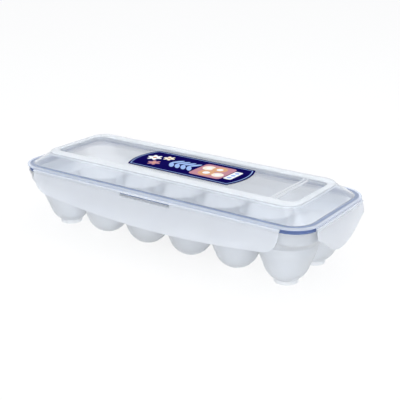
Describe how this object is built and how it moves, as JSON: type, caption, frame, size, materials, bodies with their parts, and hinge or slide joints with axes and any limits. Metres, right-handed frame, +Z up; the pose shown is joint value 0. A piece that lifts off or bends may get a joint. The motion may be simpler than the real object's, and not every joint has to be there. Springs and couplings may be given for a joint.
{
  "type": "egg keeper",
  "caption": "Long shallow egg keeper: a tray of round cups under a domed flip lid with a sunken top panel, a seal ring and snap flaps on all sides.",
  "frame": {"origin": "on the table under the middle of the tray, level with the underside of the four foot rings", "axes": "+X along the two rows of cups towards the right end, +Y towards the hinged back, +Z up"},
  "size_m": [0.3148, 0.1222, 0.0718],
  "materials": {
    "tray_plastic": "translucent polypropylene, lightly frosted",
    "lid_plastic": "translucent polypropylene, smooth",
    "seal_silicone": "blue silicone, satin",
    "flap_plastic": "translucent polypropylene, smooth",
    "label_film": "printed film, glossy"
  },
  "bodies": {
    "tray": {"tray": "tray_plastic"},
    "lid": {"lid": "lid_plastic", "gasket": "seal_silicone", "label": "label_film"},
    "latch_front": {"latch_front": "flap_plastic"},
    "latch_rear": {"latch_rear": "flap_plastic"},
    "latch_right": {"latch_right": "flap_plastic"},
    "latch_left": {"latch_left": "flap_plastic"}
  },
  "joints": [
    {"name": "lid_flip", "type": "hinge", "parent": "tray", "child": "lid", "pos_m": [0, 0.0589, 0.058], "axis": [-1, 0, 0], "range_deg": [0, 110]},
    {"name": "latch_front_swing", "type": "hinge", "parent": "lid", "child": "latch_front", "pos_m": [0, -0.0589, 0.058], "axis": [-1, 0, 0], "range_deg": [0, 120]},
    {"name": "latch_right_swing", "type": "hinge", "parent": "lid", "child": "latch_right", "pos_m": [0.1549, 0, 0.058], "axis": [0, -1, 0], "range_deg": [0, 120]},
    {"name": "latch_left_swing", "type": "hinge", "parent": "lid", "child": "latch_left", "pos_m": [-0.1549, 0, 0.058], "axis": [0, 1, 0], "range_deg": [0, 120]},
    {"name": "latch_rear_swing", "type": "hinge", "parent": "tray", "child": "latch_rear", "pos_m": [0, 0.0589, 0.058], "axis": [1, 0, 0], "range_deg": [0, 60]}
  ]
}
